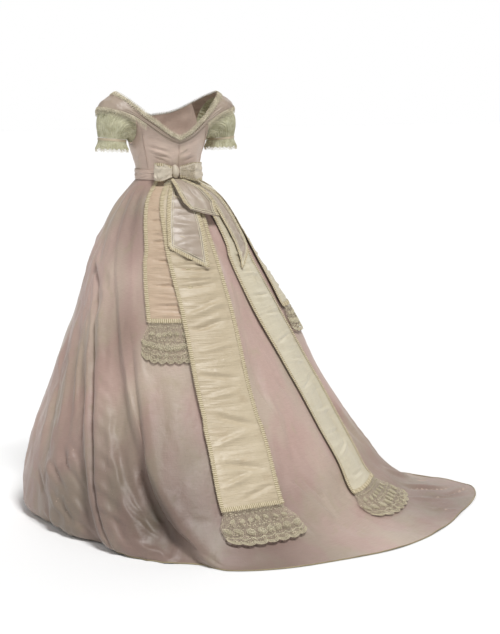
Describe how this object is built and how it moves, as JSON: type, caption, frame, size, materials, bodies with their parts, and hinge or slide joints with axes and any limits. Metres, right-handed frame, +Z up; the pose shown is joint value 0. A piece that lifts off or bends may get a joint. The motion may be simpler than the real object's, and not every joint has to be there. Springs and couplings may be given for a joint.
{
  "type": "ball gown with a train",
  "caption": "Off-the-shoulder satin ball gown with a draped bertha, puffed sleeves, back bow, trimmed sash ends and a swept train, standing hollow as if worn.",
  "frame": {"origin": "middle of the waist, level with the middle of the waistband, 1.060 m above the floor that the hem rests on", "axes": "+Z up along the body, -Y toward the gown's front, +X toward the wearer's left"},
  "size_m": [1.4205, 1.2332, 1.3163],
  "materials": {
    "pink_satin": "satin",
    "ivory_satin": "satin",
    "pearl_satin": "satin",
    "ivory_lace": "matte",
    "ivory_tulle": "matte"
  },
  "bodies": {
    "root": {"skirt_front": "pink_satin", "skirt_side_front_left": "pink_satin", "skirt_side_back_left": "pink_satin", "skirt_back_left": "pink_satin", "skirt_back_right": "pink_satin", "skirt_side_back_right": "pink_satin", "skirt_side_front_right": "pink_satin", "waistband": "pink_satin", "bodice_front": "pink_satin", "bodice_side_left": "pink_satin", "bodice_back_left": "pink_satin", "bodice_back_right": "pink_satin", "bodice_side_right": "pink_satin", "bertha_left": "pink_satin", "bertha_right": "pink_satin", "neck_lace": "ivory_lace", "sleeve_puff_left": "ivory_tulle", "sleeve_puff_right": "ivory_tulle", "sleeve_band_left": "ivory_satin", "sleeve_band_right": "ivory_satin", "sleeve_frill_left": "ivory_tulle", "sleeve_frill_right": "ivory_tulle", "bow_knot": "pearl_satin", "bow_loop_left": "pearl_satin", "bow_loop_right": "pearl_satin", "bow_loop_low": "pearl_satin", "bow_tail_left": "pearl_satin", "bow_tail_right": "pearl_satin", "sash_short_left": "ivory_satin", "sash_long_left": "ivory_satin", "sash_long_right": "ivory_satin", "sash_short_right": "ivory_satin", "lace_short_left": "ivory_lace", "lace_long_left": "ivory_lace", "lace_long_right": "ivory_lace", "lace_short_right": "ivory_lace"}
  },
  "joints": []
}
